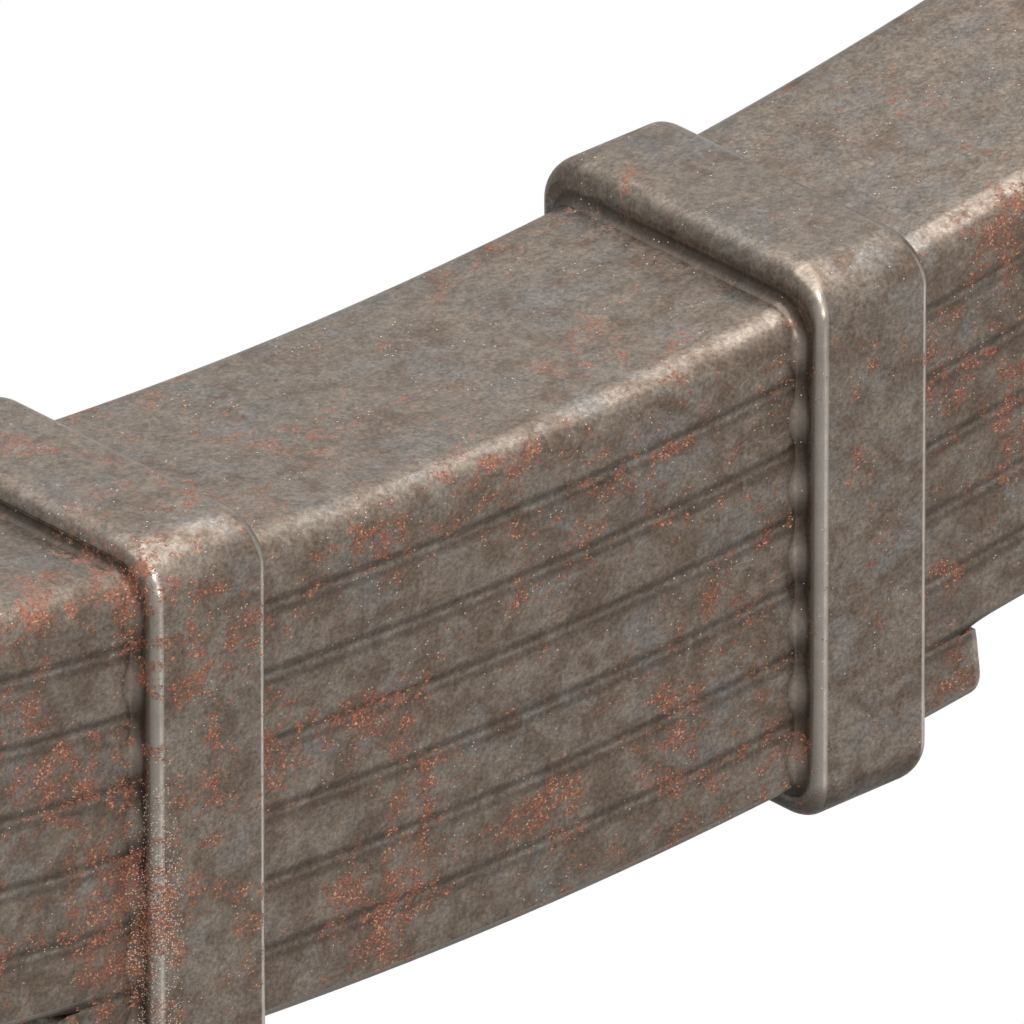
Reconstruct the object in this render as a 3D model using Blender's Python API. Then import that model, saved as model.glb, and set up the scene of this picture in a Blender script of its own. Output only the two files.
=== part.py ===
"""Seven-leaf banded semi-elliptic leaf spring, as an assembly of its separate pieces.

Frame: X runs along the spring (front half at +X), Y across the leaves, Z up.
The origin is on the floor plane that the two bands stand on, midway between them.
All leaves are concentric arcs about one centre high above the pack.
"""

import math

import bmesh
import bpy
from mathutils import Matrix, Vector

# Driving dimensions, in metres
LEAF_COUNT = 7
LEAF_WIDTH = 0.076
LEAF_THICKNESS = 0.016
LEAF_GAP = 0.0003
LEAF_EDGE_RADIUS = 0.004
MAIN_TOP_RADIUS = 1.050
MAIN_HALF_LENGTH = 0.575
SHORTEST_HALF_LENGTH = 0.134
LEAF_LENGTH_STEP = 0.075
LEAF_STATION_ANGLE = math.radians(2.0)
SHORTEST_STATION_SHARE = 0.25
LEAF_END_INSET = 0.0028

EYE_BORE_RADIUS = 0.0225
EYE_WRAP = math.radians(300.0)
EYE_STEPS = 20

BAND_SPACING = 0.1905
BAND_WIDTH = 0.0325
BAND_SIDE_WALL = 0.0056
BAND_ROOF_WALL = 0.0082
BAND_FLOOR_WALL = 0.0097
BAND_CORNER_RADIUS = 0.0115
BAND_CORNER_STEPS = 5
BAND_EDGE_RADIUS = 0.003
BAND_EDGE_ANGLE = math.radians(60.0)
BAND_OPENING_ANGLE = math.radians(9.0)
BAND_OPENING_STEPS = 18
FIT_GAP = 0.0003
CUT_PAST = 0.004
CHAMFER = 0.0012

BOLT_SHANK_RADIUS = 0.007
BOLT_DEPTH_IN_MAIN = 0.010
BOLT_HEAD_RADIUS = 0.011
BOLT_HEAD_HEIGHT = 0.005

BUSH_SLEEVE_RADIUS = 0.0220
BUSH_SLEEVE_WALL = 0.0025
BUSH_CORE_RADIUS = 0.0120
BUSH_CORE_BORE_RADIUS = 0.0085
BUSH_GAP = 0.0004
BUSH_CORE_LENGTH = 0.080
BUSH_RUBBER_LENGTH = 0.074

CLIP_ARC_POSITION = 0.335
CLIP_LEAVES = 4
CLIP_WIDTH = 0.032
CLIP_THICKNESS = 0.008
CLIP_SIDE_GAP = 0.0015
CLIP_CORNER_RADIUS = 0.006
CLIP_CORNER_STEPS = 4
CLIP_LUG_SHARE = 0.93
CLIP_LUG_STEPS = 6
CLIP_BOLT_RISE = 0.012
CLIP_BOLT_RADIUS = 0.006
CLIP_BOLT_TAIL = 0.003
CLIP_SPACER_RADIUS = 0.0095
CLIP_SPACER_BORE = 0.0066
HEX_RADIUS = 0.0110
HEX_HEAD_HEIGHT = 0.008
HEX_NUT_HEIGHT = 0.010
RIVET_RADIUS = 0.005
RIVET_SINK_RADIUS = 0.0085
RIVET_SINK_DEPTH = 0.0035
RIVET_HEAD_RADIUS = 0.010
RIVET_HEAD_HEIGHT = 0.006
RIVET_HEAD_STEPS = 4

ROUND_SIDES = 24
SMALL_SIDES = 16
SHARP_ANGLE = math.radians(32.0)

# Worked out from the driving dimensions
LEAF_PITCH = LEAF_THICKNESS + LEAF_GAP
PACK_BOTTOM_RADIUS = MAIN_TOP_RADIUS + LEAF_COUNT * LEAF_THICKNESS + (LEAF_COUNT - 1) * LEAF_GAP
BAND_ANGLE = math.asin(BAND_SPACING / 2 / PACK_BOTTOM_RADIUS)
ARC_CENTRE_HEIGHT = BAND_FLOOR_WALL + FIT_GAP + PACK_BOTTOM_RADIUS * math.cos(BAND_ANGLE)
BAND_TOP = ARC_CENTRE_HEIGHT - MAIN_TOP_RADIUS * math.cos(BAND_ANGLE) + FIT_GAP + BAND_ROOF_WALL
BAND_HALF_DEPTH = LEAF_WIDTH / 2 + FIT_GAP + BAND_SIDE_WALL
EYE_ANGLE = MAIN_HALF_LENGTH / (MAIN_TOP_RADIUS + LEAF_THICKNESS / 2)
EYE_CENTRE_RADIUS = MAIN_TOP_RADIUS - EYE_BORE_RADIUS
CLIP_ANGLE = CLIP_ARC_POSITION / (MAIN_TOP_RADIUS + LEAF_THICKNESS / 2)
HALVES = {"front": 1, "rear": -1}

# Colour, roughness, metallic
FINISHES = {
    "leaf_steel": ((0.165, 0.145, 0.130, 1.0), 0.45, 0.80),
    "band_steel": ((0.155, 0.140, 0.130, 1.0), 0.48, 0.80),
    "fastener_steel": ((0.130, 0.115, 0.105, 1.0), 0.50, 0.85),
    "sleeve_steel": ((0.300, 0.290, 0.280, 1.0), 0.38, 0.90),
    "bush_rubber": ((0.022, 0.021, 0.020, 1.0), 0.80, 0.00),
}


def leaf_top_radius(number):
    """Radius of the upper, concave face of leaf 1 (the main leaf) to leaf 7."""
    return MAIN_TOP_RADIUS + (number - 1) * LEAF_PITCH


def leaf_half_length(number):
    """Half the length of a shorter leaf, measured along its arc."""
    return SHORTEST_HALF_LENGTH + (LEAF_COUNT - number) * LEAF_LENGTH_STEP


def clear_scene():
    for old in list(bpy.data.objects):
        bpy.data.objects.remove(old, do_unlink=True)


def make_finish(name):
    colour, roughness, metallic = FINISHES[name]
    finish = bpy.data.materials.new(name)
    finish.use_nodes = True
    shader = finish.node_tree.nodes["Principled BSDF"]
    shader.inputs["Base Color"].default_value = colour
    shader.inputs["Roughness"].default_value = roughness
    shader.inputs["Metallic"].default_value = metallic
    finish.diffuse_color = colour
    return finish


def make_object(name, shape, finish):
    """Turns a bmesh into a smooth-shaded object with its finish."""
    bmesh.ops.recalc_face_normals(shape, faces=shape.faces)
    mesh = bpy.data.meshes.new(name)
    shape.to_mesh(mesh)
    shape.free()
    mesh.shade_smooth()
    mesh.set_sharp_from_angle(angle=SHARP_ANGLE)
    piece = bpy.data.objects.new(name, mesh)
    bpy.context.scene.collection.objects.link(piece)
    if finish is not None:
        mesh.materials.append(finish)
    return piece


def make_cutter(name, shape):
    """A helper solid that only cuts others."""
    cutter = make_object(name, shape, None)
    cutter.hide_render = True
    cutter.display_type = "WIRE"
    return cutter


def cut(piece, cutter):
    modifier = piece.modifiers.new("cut_" + cutter.name, "BOOLEAN")
    modifier.operation = "DIFFERENCE"
    modifier.solver = "EXACT"
    modifier.object = cutter


def bridge_rings(shape, rings):
    """Skins neighbouring rings of equal length and caps both ends."""
    loops = [[shape.verts.new(point) for point in ring] for ring in rings]
    count = len(loops[0])
    for first, second in zip(loops, loops[1:]):
        for i in range(count):
            j = (i + 1) % count
            shape.faces.new((first[i], first[j], second[j], second[i]))
    shape.faces.new(list(reversed(loops[0])))
    shape.faces.new(loops[-1])


def rounded_rectangle(half_width, half_height, radius, steps):
    """Outline points (across, up) of a rectangle with round corners."""
    points = []
    for corner in range(4):
        start = corner * math.pi / 2
        across = (half_width - radius) * (1 if corner in (0, 3) else -1)
        up = (half_height - radius) * (1 if corner in (0, 1) else -1)
        for i in range(steps + 1):
            angle = start + i / steps * math.pi / 2
            points.append((across + radius * math.cos(angle), up + radius * math.sin(angle)))
    return points


def arc_station(radius, angle):
    """A point on an arc about the common centre, and its normal, which points at that centre."""
    normal = Vector((-math.sin(angle), 0.0, math.cos(angle)))
    return Vector((0.0, 0.0, ARC_CENTRE_HEIGHT)) - normal * radius, normal


def section_ring(station, inset=0.0):
    """One ring of a leaf's rounded section, drawn in by inset all round near a leaf's end."""
    centre, normal = station
    outline = rounded_rectangle(LEAF_WIDTH / 2 - inset, LEAF_THICKNESS / 2 - inset, LEAF_EDGE_RADIUS, 2)
    return [centre + Vector((0.0, across, 0.0)) + normal * up for across, up in outline]


def arc_angles(end_angle):
    """Station angles from 0 up to, but without, end_angle."""
    count = math.ceil(end_angle / LEAF_STATION_ANGLE - SHORTEST_STATION_SHARE)
    return [i * LEAF_STATION_ANGLE for i in range(count)]


def plain_leaf_shape(number):
    """A square-ended leaf whose end edges are rounded."""
    middle_radius = leaf_top_radius(number) + LEAF_THICKNESS / 2
    end_angle = leaf_half_length(number) / middle_radius
    round_angle = LEAF_EDGE_RADIUS / middle_radius
    half = [(angle, 0.0) for angle in arc_angles(end_angle - round_angle)]
    for share in (0.0, 0.5, 1.0):
        turn = share * math.pi / 2
        half.append(
            (
                end_angle - round_angle * (1 - math.sin(turn)),
                LEAF_END_INSET * (1 - math.cos(turn)),
            )
        )
    stations = [(-angle, inset) for angle, inset in reversed(half[1:])] + half
    shape = bmesh.new()
    bridge_rings(shape, [section_ring(arc_station(middle_radius, a), inset) for a, inset in stations])
    return shape


def eye_stations(side):
    """Stations round one rolled eye, from the leaf's tangent point to the eye's tip."""
    middle_radius = MAIN_TOP_RADIUS + LEAF_THICKNESS / 2
    start, normal = arc_station(middle_radius, side * EYE_ANGLE)
    loop_radius = EYE_BORE_RADIUS + LEAF_THICKNESS / 2
    centre = start + normal * loop_radius
    stations = []
    for i in range(EYE_STEPS + 1):
        turned = Matrix.Rotation(-side * EYE_WRAP * i / EYE_STEPS, 3, "Y") @ normal
        stations.append((centre - turned * loop_radius, turned))
    return stations


def main_leaf_shape():
    """The longest leaf, with its ends rolled up into eyes."""
    middle_radius = MAIN_TOP_RADIUS + LEAF_THICKNESS / 2
    angles = arc_angles(EYE_ANGLE)
    arc = [arc_station(middle_radius, -a) for a in reversed(angles[1:])]
    arc += [arc_station(middle_radius, a) for a in angles]
    stations = list(reversed(eye_stations(-1))) + arc + eye_stations(1)
    shape = bmesh.new()
    bridge_rings(shape, [section_ring(station) for station in stations])
    return shape


def turned_shape(profile, sides):
    """A solid turned about Z from (radius, height) points on a closed outline off the axis."""
    shape = bmesh.new()
    rings = []
    for i in range(sides):
        turn = Matrix.Rotation(2 * math.pi * i / sides, 3, "Z")
        rings.append([shape.verts.new(turn @ Vector((r, 0.0, z))) for r, z in profile])
    for i in range(sides):
        here, there = rings[i], rings[(i + 1) % sides]
        for j in range(len(profile)):
            k = (j + 1) % len(profile)
            shape.faces.new((here[j], here[k], there[k], there[j]))
    return shape


def stud_shape(profile, sides):
    """A solid turned about Z from (radius, height) points that run from bottom to top."""
    shape = bmesh.new()
    rings = []
    for radius, height in profile:
        ring = []
        for i in range(sides):
            angle = 2 * math.pi * i / sides
            ring.append(Vector((radius * math.cos(angle), radius * math.sin(angle), height)))
        rings.append(ring)
    bridge_rings(shape, rings)
    return shape


def tube_shape(outer, inner, length, sides):
    half = length / 2
    return turned_shape([(outer, -half), (outer, half), (inner, half), (inner, -half)], sides)


def dome_profile(radius, height, base, steps):
    """(radius, height) points of a shallow dome that hangs down from base, lowest first."""
    points = []
    for i in range(1, steps + 1):
        turn = i / steps * math.pi / 2
        points.append((radius * math.sin(turn), base - height * math.cos(turn)))
    return points


def across_leaves(shape):
    """Turns a solid made about Z so that its axis lies along Y."""
    bmesh.ops.rotate(shape, verts=shape.verts, matrix=Matrix.Rotation(-math.pi / 2, 3, "X"))
    return shape


def move(shape, x=0.0, y=0.0, z=0.0):
    bmesh.ops.translate(shape, verts=shape.verts, vec=(x, y, z))
    return shape


def build_leaves(finish):
    leaves = {1: make_object("leaf_1_main", main_leaf_shape(), finish)}
    for number in range(2, LEAF_COUNT + 1):
        leaves[number] = make_object(f"leaf_{number}", plain_leaf_shape(number), finish)
    return leaves


def pack_shape(margin, half_angle, steps):
    """The outline of the whole pack with a margin, for the bands' openings."""
    shape = bmesh.new()
    middle_radius = (MAIN_TOP_RADIUS + PACK_BOTTOM_RADIUS) / 2
    half_height = (PACK_BOTTOM_RADIUS - MAIN_TOP_RADIUS) / 2 + margin
    outline = rounded_rectangle(LEAF_WIDTH / 2 + margin, half_height, LEAF_EDGE_RADIUS, 2)
    rings = []
    for i in range(steps + 1):
        centre, normal = arc_station(middle_radius, half_angle * (2 * i / steps - 1))
        rings.append([centre + Vector((0.0, across, 0.0)) + normal * up for across, up in outline])
    bridge_rings(shape, rings)
    return shape


def build_bands(finish):
    """Two closed bands, each opened out by the pack's own curved outline."""
    opening = make_cutter("pack_opening", pack_shape(FIT_GAP, BAND_OPENING_ANGLE, BAND_OPENING_STEPS))
    outline = rounded_rectangle(BAND_HALF_DEPTH, BAND_TOP / 2, BAND_CORNER_RADIUS, BAND_CORNER_STEPS)
    for half, side in HALVES.items():
        rings = []
        for end in (-1, 1):
            x = side * BAND_SPACING / 2 + end * BAND_WIDTH / 2
            rings.append([Vector((x, across, BAND_TOP / 2 + up)) for across, up in outline])
        shape = bmesh.new()
        bridge_rings(shape, rings)
        band = make_object(f"{half}_band", shape, finish)
        cut(band, opening)
        edges = band.modifiers.new("soft_outer_edges", "BEVEL")
        edges.width = BAND_EDGE_RADIUS
        edges.segments = 2
        edges.limit_method = "ANGLE"
        edges.angle_limit = BAND_EDGE_ANGLE
        band.modifiers.move(1, 0)


def build_centre_bolt(leaves, finish):
    """Head under leaf 7, shank up through leaves 7 to 2 and into a blind hole of the main leaf."""
    head_top = ARC_CENTRE_HEIGHT - PACK_BOTTOM_RADIUS - LEAF_GAP
    shank_top = ARC_CENTRE_HEIGHT - leaf_top_radius(1) - LEAF_THICKNESS + BOLT_DEPTH_IN_MAIN
    profile = [
        (BOLT_HEAD_RADIUS - CHAMFER, head_top - BOLT_HEAD_HEIGHT),
        (BOLT_HEAD_RADIUS, head_top - BOLT_HEAD_HEIGHT + CHAMFER),
        (BOLT_HEAD_RADIUS, head_top),
        (BOLT_SHANK_RADIUS, head_top),
        (BOLT_SHANK_RADIUS, shank_top - CHAMFER),
        (BOLT_SHANK_RADIUS - CHAMFER, shank_top),
    ]
    make_object("centre_bolt", stud_shape(profile, ROUND_SIDES), finish)
    hole_radius = BOLT_SHANK_RADIUS + FIT_GAP
    hole = [(hole_radius, head_top - CUT_PAST), (hole_radius, shank_top + FIT_GAP)]
    cutter = make_cutter("centre_bolt_hole", stud_shape(hole, ROUND_SIDES))
    for leaf in leaves.values():
        cut(leaf, cutter)


def build_bush(half, side, steel, rubber):
    """Outer sleeve, rubber and inner sleeve, all with their origins on the eye's axis."""
    sleeve_bore = BUSH_SLEEVE_RADIUS - BUSH_SLEEVE_WALL
    layers = [
        ("bush_outer_sleeve", BUSH_SLEEVE_RADIUS, sleeve_bore, LEAF_WIDTH, steel),
        ("bush_rubber", sleeve_bore - BUSH_GAP, BUSH_CORE_RADIUS + BUSH_GAP, BUSH_RUBBER_LENGTH, rubber),
        ("bush_inner_sleeve", BUSH_CORE_RADIUS, BUSH_CORE_BORE_RADIUS, BUSH_CORE_LENGTH, steel),
    ]
    eye_centre = arc_station(EYE_CENTRE_RADIUS, side * EYE_ANGLE)[0]
    for layer, outer, inner, length, finish in layers:
        shape = across_leaves(tube_shape(outer, inner, length, ROUND_SIDES))
        piece = make_object(f"{half}_{layer}", shape, finish)
        piece.location = eye_centre


def strap_shape(floor_height, bolt_height):
    """A U of flat bar that hugs the pack from below and ends in round lugs about the clip bolt."""
    inner_half = LEAF_WIDTH / 2 + CLIP_SIDE_GAP
    half_bar = CLIP_THICKNESS / 2
    bend = CLIP_CORNER_RADIUS + half_bar
    side_y = inner_half + half_bar
    floor_z = floor_height - half_bar
    route = []
    for i in range(CLIP_LUG_STEPS + 1):
        turn = i / CLIP_LUG_STEPS * math.pi / 2 * CLIP_LUG_SHARE
        rise = CLIP_WIDTH / 2 * math.sin(turn)
        route.append((side_y, bolt_height + rise, CLIP_WIDTH * math.cos(turn), 0.0))
    route.reverse()
    for i in range(CLIP_CORNER_STEPS + 1):
        turn = i / CLIP_CORNER_STEPS * math.pi / 2
        y = side_y - bend + bend * math.cos(turn)
        z = floor_z + bend - bend * math.sin(turn)
        route.append((y, z, CLIP_WIDTH, turn))
    route += [(-y, z, width, math.pi - turn) for y, z, width, turn in reversed(route)]
    rings = []
    for y, z, width, turn in route:
        out = Vector((0.0, math.cos(turn), -math.sin(turn))) * half_bar
        along = Vector((width / 2, 0.0, 0.0))
        centre = Vector((0.0, y, z))
        front, back = centre + along, centre - along
        rings.append([front + out, front - out, back - out, back + out])
    shape = bmesh.new()
    bridge_rings(shape, rings)
    return shape


def hexagon_profile(height):
    return [(HEX_RADIUS - CHAMFER, 0.0), (HEX_RADIUS, CHAMFER), (HEX_RADIUS, height)]


def build_clip(half, side, leaves, steel):
    """The rebound clip, made at the middle of the arc and then swung to its place on its own empty."""
    swing = bpy.data.objects.new(f"{half}_clip_swing", None)
    bpy.context.scene.collection.objects.link(swing)
    swing.location = (0.0, 0.0, ARC_CENTRE_HEIGHT)
    swing.rotation_euler = (0.0, -CLIP_ANGLE, 0.0 if side > 0 else math.pi)

    def place(piece):
        piece.parent = swing
        piece.matrix_parent_inverse = Matrix.Translation((0.0, 0.0, -ARC_CENTRE_HEIGHT))
        return piece

    lowest_top = ARC_CENTRE_HEIGHT - leaf_top_radius(CLIP_LEAVES)
    strap_floor = lowest_top - LEAF_THICKNESS - FIT_GAP
    bolt_height = ARC_CENTRE_HEIGHT - MAIN_TOP_RADIUS + CLIP_BOLT_RISE
    strap = place(make_object(f"{half}_clip_strap", strap_shape(strap_floor, bolt_height), steel))

    inner_half = LEAF_WIDTH / 2 + CLIP_SIDE_GAP
    outer_half = inner_half + CLIP_THICKNESS
    spacer_length = 2 * (inner_half - FIT_GAP)
    spacer = across_leaves(tube_shape(CLIP_SPACER_RADIUS, CLIP_SPACER_BORE, spacer_length, SMALL_SIDES))
    place(make_object(f"{half}_clip_spacer", move(spacer, z=bolt_height), steel))

    head_seat = outer_half + FIT_GAP
    nut_end = head_seat + HEX_NUT_HEIGHT
    head = stud_shape(hexagon_profile(HEX_HEAD_HEIGHT), 6)
    move(head, z=-head_seat - HEX_HEAD_HEIGHT)
    bolt = make_object(f"{half}_clip_bolt", move(across_leaves(head), z=bolt_height), steel)
    shank_ends = (-head_seat - HEX_HEAD_HEIGHT / 2, nut_end + CLIP_BOLT_TAIL)
    shank = across_leaves(stud_shape([(CLIP_BOLT_RADIUS, end) for end in shank_ends], SMALL_SIDES))
    shank_cutter = make_cutter(f"{half}_bolt_shank", move(shank, z=bolt_height))
    join = bolt.modifiers.new("join_shank", "BOOLEAN")
    join.operation = "UNION"
    join.solver = "EXACT"
    join.object = shank_cutter
    place(shank_cutter)
    place(bolt)

    nut = stud_shape([*hexagon_profile(HEX_NUT_HEIGHT / 2), (HEX_RADIUS, HEX_NUT_HEIGHT)], 6)
    nut = move(across_leaves(move(nut, z=head_seat)), z=bolt_height)
    nut = place(make_object(f"{half}_clip_nut", nut, steel))
    bore_radius = CLIP_BOLT_RADIUS + FIT_GAP
    bore = [(bore_radius, -outer_half - CUT_PAST), (bore_radius, nut_end + CUT_PAST)]
    bore = move(across_leaves(stud_shape(bore, SMALL_SIDES)), z=bolt_height)
    bore = place(make_cutter(f"{half}_clip_bore", bore))
    cut(strap, bore)
    cut(nut, bore)

    strap_under = strap_floor - CLIP_THICKNESS - FIT_GAP
    rivet_top = lowest_top - FIT_GAP
    rivet_profile = dome_profile(RIVET_HEAD_RADIUS, RIVET_HEAD_HEIGHT, strap_under, RIVET_HEAD_STEPS)
    rivet_profile += [
        (RIVET_RADIUS, strap_under),
        (RIVET_RADIUS, rivet_top - RIVET_SINK_DEPTH),
        (RIVET_SINK_RADIUS, rivet_top),
    ]
    place(make_object(f"{half}_clip_rivet", stud_shape(rivet_profile, SMALL_SIDES), steel))
    hole_radius = RIVET_RADIUS + FIT_GAP
    sink_slope = (RIVET_SINK_RADIUS - RIVET_RADIUS) / RIVET_SINK_DEPTH
    rivet_hole = [
        (hole_radius, strap_under - CUT_PAST),
        (hole_radius, rivet_top - RIVET_SINK_DEPTH - FIT_GAP / 2),
        (
            hole_radius + sink_slope * (RIVET_SINK_DEPTH + CUT_PAST),
            rivet_top - FIT_GAP / 2 + CUT_PAST,
        ),
    ]
    rivet_cutter = place(make_cutter(f"{half}_rivet_hole", stud_shape(rivet_hole, SMALL_SIDES)))
    cut(strap, rivet_cutter)
    cut(leaves[CLIP_LEAVES], rivet_cutter)


def main():
    clear_scene()
    finishes = {name: make_finish(name) for name in FINISHES}
    leaves = build_leaves(finishes["leaf_steel"])
    build_bands(finishes["band_steel"])
    build_centre_bolt(leaves, finishes["fastener_steel"])
    for half, side in HALVES.items():
        build_bush(half, side, finishes["sleeve_steel"], finishes["bush_rubber"])
        build_clip(half, side, leaves, finishes["fastener_steel"])


main()
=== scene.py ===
"""Looks of a seven-leaf banded leaf spring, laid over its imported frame.

All lengths are in metres. X runs along the spring, Y across the leaves, Z up.
The leaves are arcs about one centre high above the pack, and every shape here is laid on those arcs.
"""

import math

import bmesh
import bpy
from bpy.props import FloatProperty, FloatVectorProperty, PointerProperty
from mathutils import Matrix, Vector


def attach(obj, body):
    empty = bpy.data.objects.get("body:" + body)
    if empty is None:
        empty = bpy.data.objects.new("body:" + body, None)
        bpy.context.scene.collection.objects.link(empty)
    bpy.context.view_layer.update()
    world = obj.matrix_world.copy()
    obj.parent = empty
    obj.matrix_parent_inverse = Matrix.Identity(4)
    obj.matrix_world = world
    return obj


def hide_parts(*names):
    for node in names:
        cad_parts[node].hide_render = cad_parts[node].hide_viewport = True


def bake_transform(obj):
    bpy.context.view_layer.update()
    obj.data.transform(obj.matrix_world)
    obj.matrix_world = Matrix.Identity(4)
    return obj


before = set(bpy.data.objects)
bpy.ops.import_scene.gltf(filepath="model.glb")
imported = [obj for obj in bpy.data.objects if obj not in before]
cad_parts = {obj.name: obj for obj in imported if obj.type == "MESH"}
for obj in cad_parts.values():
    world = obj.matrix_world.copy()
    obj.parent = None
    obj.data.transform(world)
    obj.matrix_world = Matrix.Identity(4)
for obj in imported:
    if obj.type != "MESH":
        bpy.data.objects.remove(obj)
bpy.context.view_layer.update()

bl_info = {
    "name": "Banded Leaf Spring",
    "version": (1, 0, 0),
    "blender": (4, 5, 0),
    "location": "View3D > Sidebar > Leaf Spring",
    "description": "Builds the finished look of a banded leaf spring on its packed frame",
    "category": "Add Mesh",
}

MM = 0.001

# The pack of leaves, as it was made
LEAF_COUNT = 7
LEAF_WIDTH = 0.076
LEAF_THICKNESS = 0.016
LEAF_PITCH = 0.0163
MAIN_TOP_RADIUS = 1.050
MAIN_HALF_LENGTH = 0.575
SHORTEST_HALF_LENGTH = 0.134
LEAF_LENGTH_STEP = 0.075
PACK_BOTTOM_RADIUS = MAIN_TOP_RADIUS + (LEAF_COUNT - 1) * LEAF_PITCH + LEAF_THICKNESS
EYE_BORE_RADIUS = 0.0225
EYE_WRAP = math.radians(300.0)

# The bands, centre bolt, bushes and clips, as they were made
BAND_SPACING = 0.1905
BAND_WIDTH = 0.0325
BAND_FLOOR_WALL = 0.0097
BAND_ROOF_WALL = 0.0082
BAND_HALF_DEPTH = 0.0439
FIT_GAP = 0.0003
BOLT_HEAD_RADIUS = 0.011
BOLT_HEAD_HEIGHT = 0.005
BOLT_SHANK_RADIUS = 0.007
BOLT_DEPTH_IN_MAIN = 0.010
SLEEVE_RADIUS = 0.0220
SLEEVE_WALL = 0.0025
CORE_RADIUS = 0.0120
CORE_BORE_RADIUS = 0.0085
BUSH_GAP = 0.0004
CORE_LENGTH = 0.080
RUBBER_LENGTH = 0.074
CLIP_ARC_POSITION = 0.335
CLIP_LEAVES = 4
CLIP_WIDTH = 0.032
CLIP_THICKNESS = 0.008
CLIP_SIDE_GAP = 0.0015
CLIP_CORNER_RADIUS = 0.006
CLIP_BOLT_RISE = 0.012
CLIP_BOLT_RADIUS = 0.006
CLIP_BOLT_TAIL = 0.003
CLIP_SPACER_RADIUS = 0.0095
CLIP_SPACER_BORE = 0.0066
HEX_RADIUS = 0.0110
HEX_HEAD_HEIGHT = 0.008
HEX_NUT_HEIGHT = 0.010
RIVET_HEAD_RADIUS = 0.010
RIVET_HEAD_HEIGHT = 0.006
RIVET_RADIUS = 0.005
RIVET_SINK_RADIUS = 0.0085
RIVET_SINK_DEPTH = 0.0035

BAND_ANGLE = math.asin(BAND_SPACING / 2 / PACK_BOTTOM_RADIUS)
ARC_CENTRE_HEIGHT = BAND_FLOOR_WALL + FIT_GAP + PACK_BOTTOM_RADIUS * math.cos(BAND_ANGLE)
BAND_TOP = ARC_CENTRE_HEIGHT - MAIN_TOP_RADIUS * math.cos(BAND_ANGLE) + FIT_GAP + BAND_ROOF_WALL
EYE_ANGLE = MAIN_HALF_LENGTH / (MAIN_TOP_RADIUS + LEAF_THICKNESS / 2)
CLIP_ANGLE = CLIP_ARC_POSITION / (MAIN_TOP_RADIUS + LEAF_THICKNESS / 2)
HALVES = {"front": 1, "rear": -1}

# The finished shapes
LEAF_CLEARANCE = 0.00001
GROOVE_HALF_WIDTH = 0.0030
GROOVE_DEPTH = 0.0002
FREE_EDGE_RADIUS = 0.0030
LEAF_END_RADIUS = 0.0045
STATION_ANGLE = math.radians(0.5)
CORNER_STEPS = 10
BAND_CORNER_RADIUS = 0.0115
BAND_SIDE_EDGE = 0.0030
BAND_ROOF_EDGE = 0.0055
LIP_RADIUS = 0.0028
SHORT_LIP = 0.0018
LONG_LIP = 0.0038
EYE_TIP_RADIUS = 0.002
EYE_EDGE_RADIUS = 0.0025
EDGE_CHANGE_START = math.radians(22.0)
EDGE_CHANGE_SPAN = math.radians(6.0)
FREE_EDGE_RUN = 0.004
BAND_SHIFT_DEPTH = 18 * MM
BAR_EDGE = 0.0016
LUG_SHARE = 0.95
THREAD_PITCH = 0.0015
THREAD_DEPTH = 0.0006
POINT_CHAMFER = 0.0012
HEAD_CROWN = 0.0016
SEAT_CHAMFER = 0.0003
RIVET_HOLE_DEPTH = 0.030

# How finely the round stretches are divided
EYE_STEPS = 72
LEAF_END_STEPS = 8
BAND_CORNER_STEPS = 14
BAND_SIDE_STEPS = 96
BAND_LIP_STEPS = 12
BAND_EDGE_STEPS = 8
THREAD_STEPS = 56
HOLE_SIDES = 48
RIVET_SIDES = 48
CENTRE_BOLT_SIDES = 64
CLIP_BOLT_SIDES = 72
TUBE_SIDES = 96

FLOOR_REACH = 60.0
CRISP_ANGLE = math.radians(40.0)
SHORTEST_EDGE = 0.00005


# ---------------------------------------------------------------- settings


class LeafSettings(bpy.types.PropertyGroup):
    """Edges of the leaves."""

    top_edge: FloatProperty(
        name="Main Leaf Top Edge",
        description="Radius of the main leaf's two upper edges between the bands",
        default=0.007,
        min=0.001,
        max=0.0075,
        unit="LENGTH",
    )
    groove_depth: FloatProperty(
        name="Groove Depth",
        description="How far the soft edges of two leaves draw in where they meet",
        default=GROOVE_DEPTH,
        min=0.0,
        max=0.004,
        unit="LENGTH",
    )


class SteelSettings(bpy.types.PropertyGroup):
    """Colours and wear of the steel."""

    warm_grey: FloatVectorProperty(
        name="Warm Grey",
        description="Main colour of the bare, weathered steel",
        default=(0.248, 0.206, 0.170),
        size=3,
        subtype="COLOR",
    )
    blue_grey: FloatVectorProperty(
        name="Blue Grey",
        description="Cooler patches of the bare steel",
        default=(0.226, 0.206, 0.188),
        size=3,
        subtype="COLOR",
    )
    brown: FloatVectorProperty(
        name="Brown Film",
        description="Thin brown film over the steel",
        default=(0.166, 0.124, 0.096),
        size=3,
        subtype="COLOR",
    )
    rust_red: FloatVectorProperty(
        name="Rust Red",
        description="Ground colour of the rust patches",
        default=(0.100, 0.038, 0.024),
        size=3,
        subtype="COLOR",
    )
    rust_orange: FloatVectorProperty(
        name="Rust Orange",
        description="Loose orange grains on the rust patches",
        default=(0.290, 0.092, 0.044),
        size=3,
        subtype="COLOR",
    )
    pale_grain: FloatVectorProperty(
        name="Pale Grain",
        description="Pale flakes scattered over the rust",
        default=(0.420, 0.220, 0.125),
        size=3,
        subtype="COLOR",
    )
    rust_amount: FloatProperty(
        name="Rust Amount",
        description="How much of the leaves the rust patches cover",
        default=0.50,
        min=0.0,
        max=1.0,
        subtype="FACTOR",
    )


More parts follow.
